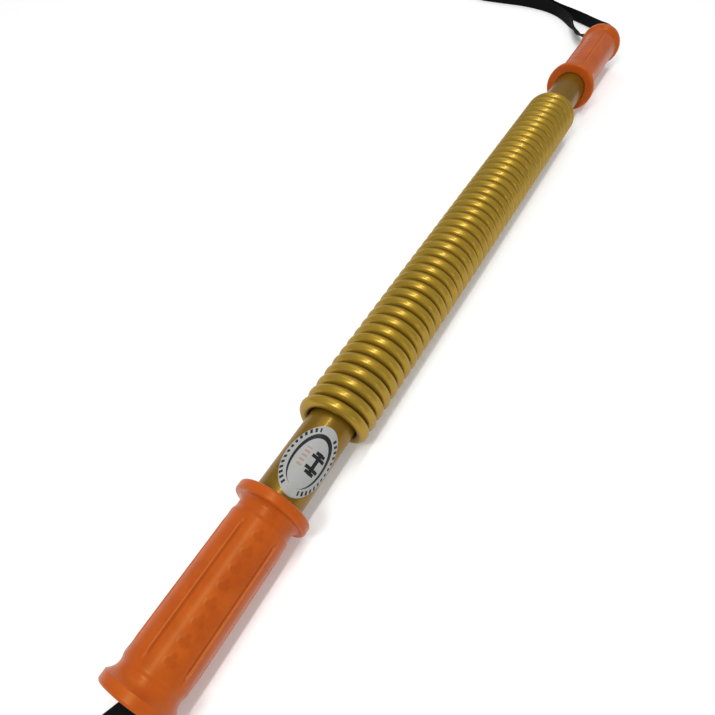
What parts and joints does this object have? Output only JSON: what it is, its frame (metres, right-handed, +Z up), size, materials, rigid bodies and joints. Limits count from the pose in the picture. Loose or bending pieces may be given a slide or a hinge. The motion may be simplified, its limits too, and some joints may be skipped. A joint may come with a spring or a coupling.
{
  "type": "spring bending bar",
  "caption": "Straight exercise bar of a long coil spring between two gripped steel tubes, with a webbing wrist strap at each end, bending sideways into a U.",
  "frame": {"origin": "on the floor, under the middle of the bar", "axes": "+X along the bar towards the end whose tube has no label, +Z up, the bar bends towards -Y"},
  "size_m": [1.0384, 0.2206, 0.0418],
  "materials": {
    "grip_plastic": "smooth moulded soft plastic, satin gloss",
    "tube_paint": "gold metallic paint on steel tube",
    "spring_paint": "gold metallic paint on spring wire",
    "strap_webbing": "black woven nylon webbing",
    "label_film": "printed white film",
    "bare_steel": "welded wire under paint"
  },
  "bodies": {
    "near_handle": {"near_grip": "grip_plastic", "near_tube": "tube_paint", "near_anchor_thread": "bare_steel", "near_strap": "strap_webbing", "near_strap_knot": "strap_webbing", "near_label": "label_film", "near_spring_end": "spring_paint"},
    "coil_01": {"spring_group_01": "spring_paint"},
    "coil_02": {"spring_group_02": "spring_paint"},
    "coil_03": {"spring_group_03": "spring_paint"},
    "coil_04": {"spring_group_04": "spring_paint"},
    "coil_05": {"spring_group_05": "spring_paint"},
    "coil_06": {"spring_group_06": "spring_paint"},
    "coil_07": {"spring_group_07": "spring_paint"},
    "coil_08": {"spring_group_08": "spring_paint"},
    "coil_09": {"spring_group_09": "spring_paint"},
    "coil_10": {"spring_group_10": "spring_paint"},
    "coil_11": {"spring_group_11": "spring_paint"},
    "coil_12": {"spring_group_12": "spring_paint"},
    "coil_13": {"spring_group_13": "spring_paint"},
    "coil_14": {"spring_group_14": "spring_paint"},
    "far_handle": {"far_grip": "grip_plastic", "far_tube": "tube_paint", "far_anchor_thread": "bare_steel", "far_strap": "strap_webbing", "far_strap_knot": "strap_webbing", "far_spring_end": "spring_paint"}
  },
  "joints": [
    {"name": "bend_01", "type": "hinge", "parent": "near_handle", "child": "coil_01", "pos_m": [-0.11614, -0.0105, 0.0209], "axis": [0, 0, -1], "range_deg": [0, 12], "stiffness_Nm_per_rad": 70},
    {"name": "bend_02", "type": "hinge", "parent": "coil_01", "child": "coil_02", "pos_m": [-0.09984, -0.0105, 0.0209], "axis": [0, 0, -1], "range_deg": [0, 12], "stiffness_Nm_per_rad": 70},
    {"name": "bend_03", "type": "hinge", "parent": "coil_02", "child": "coil_03", "pos_m": [-0.08354, -0.0105, 0.0209], "axis": [0, 0, -1], "range_deg": [0, 12], "stiffness_Nm_per_rad": 70},
    {"name": "bend_04", "type": "hinge", "parent": "coil_03", "child": "coil_04", "pos_m": [-0.06724, -0.0105, 0.0209], "axis": [0, 0, -1], "range_deg": [0, 12], "stiffness_Nm_per_rad": 70},
    {"name": "bend_05", "type": "hinge", "parent": "coil_04", "child": "coil_05", "pos_m": [-0.05094, -0.0105, 0.0209], "axis": [0, 0, -1], "range_deg": [0, 12], "stiffness_Nm_per_rad": 70},
    {"name": "bend_06", "type": "hinge", "parent": "coil_05", "child": "coil_06", "pos_m": [-0.03464, -0.0105, 0.0209], "axis": [0, 0, -1], "range_deg": [0, 12], "stiffness_Nm_per_rad": 70},
    {"name": "bend_07", "type": "hinge", "parent": "coil_06", "child": "coil_07", "pos_m": [-0.01834, -0.0105, 0.0209], "axis": [0, 0, -1], "range_deg": [0, 12], "stiffness_Nm_per_rad": 70},
    {"name": "bend_08", "type": "hinge", "parent": "coil_07", "child": "coil_08", "pos_m": [-0.00204, -0.0105, 0.0209], "axis": [0, 0, -1], "range_deg": [0, 12], "stiffness_Nm_per_rad": 70},
    {"name": "bend_09", "type": "hinge", "parent": "coil_08", "child": "coil_09", "pos_m": [0.01426, -0.0105, 0.0209], "axis": [0, 0, -1], "range_deg": [0, 12], "stiffness_Nm_per_rad": 70},
    {"name": "bend_10", "type": "hinge", "parent": "coil_09", "child": "coil_10", "pos_m": [0.03056, -0.0105, 0.0209], "axis": [0, 0, -1], "range_deg": [0, 12], "stiffness_Nm_per_rad": 70},
    {"name": "bend_11", "type": "hinge", "parent": "coil_10", "child": "coil_11", "pos_m": [0.04686, -0.0105, 0.0209], "axis": [0, 0, -1], "range_deg": [0, 12], "stiffness_Nm_per_rad": 70},
    {"name": "bend_12", "type": "hinge", "parent": "coil_11", "child": "coil_12", "pos_m": [0.06316, -0.0105, 0.0209], "axis": [0, 0, -1], "range_deg": [0, 12], "stiffness_Nm_per_rad": 70},
    {"name": "bend_13", "type": "hinge", "parent": "coil_12", "child": "coil_13", "pos_m": [0.07946, -0.0105, 0.0209], "axis": [0, 0, -1], "range_deg": [0, 12], "stiffness_Nm_per_rad": 70},
    {"name": "bend_14", "type": "hinge", "parent": "coil_13", "child": "coil_14", "pos_m": [0.09576, -0.0105, 0.0209], "axis": [0, 0, -1], "range_deg": [0, 12], "stiffness_Nm_per_rad": 70},
    {"name": "bend_15", "type": "hinge", "parent": "coil_14", "child": "far_handle", "pos_m": [0.11206, -0.0105, 0.0209], "axis": [0, 0, -1], "range_deg": [0, 12], "stiffness_Nm_per_rad": 70}
  ],
  "couplings": [
    {"joint": "bend_02", "follows": "bend_01", "ratio": 1},
    {"joint": "bend_03", "follows": "bend_01", "ratio": 1},
    {"joint": "bend_04", "follows": "bend_01", "ratio": 1},
    {"joint": "bend_05", "follows": "bend_01", "ratio": 1},
    {"joint": "bend_06", "follows": "bend_01", "ratio": 1},
    {"joint": "bend_07", "follows": "bend_01", "ratio": 1},
    {"joint": "bend_08", "follows": "bend_01", "ratio": 1},
    {"joint": "bend_09", "follows": "bend_01", "ratio": 1},
    {"joint": "bend_10", "follows": "bend_01", "ratio": 1},
    {"joint": "bend_11", "follows": "bend_01", "ratio": 1},
    {"joint": "bend_12", "follows": "bend_01", "ratio": 1},
    {"joint": "bend_13", "follows": "bend_01", "ratio": 1},
    {"joint": "bend_14", "follows": "bend_01", "ratio": 1},
    {"joint": "bend_15", "follows": "bend_01", "ratio": 1}
  ]
}
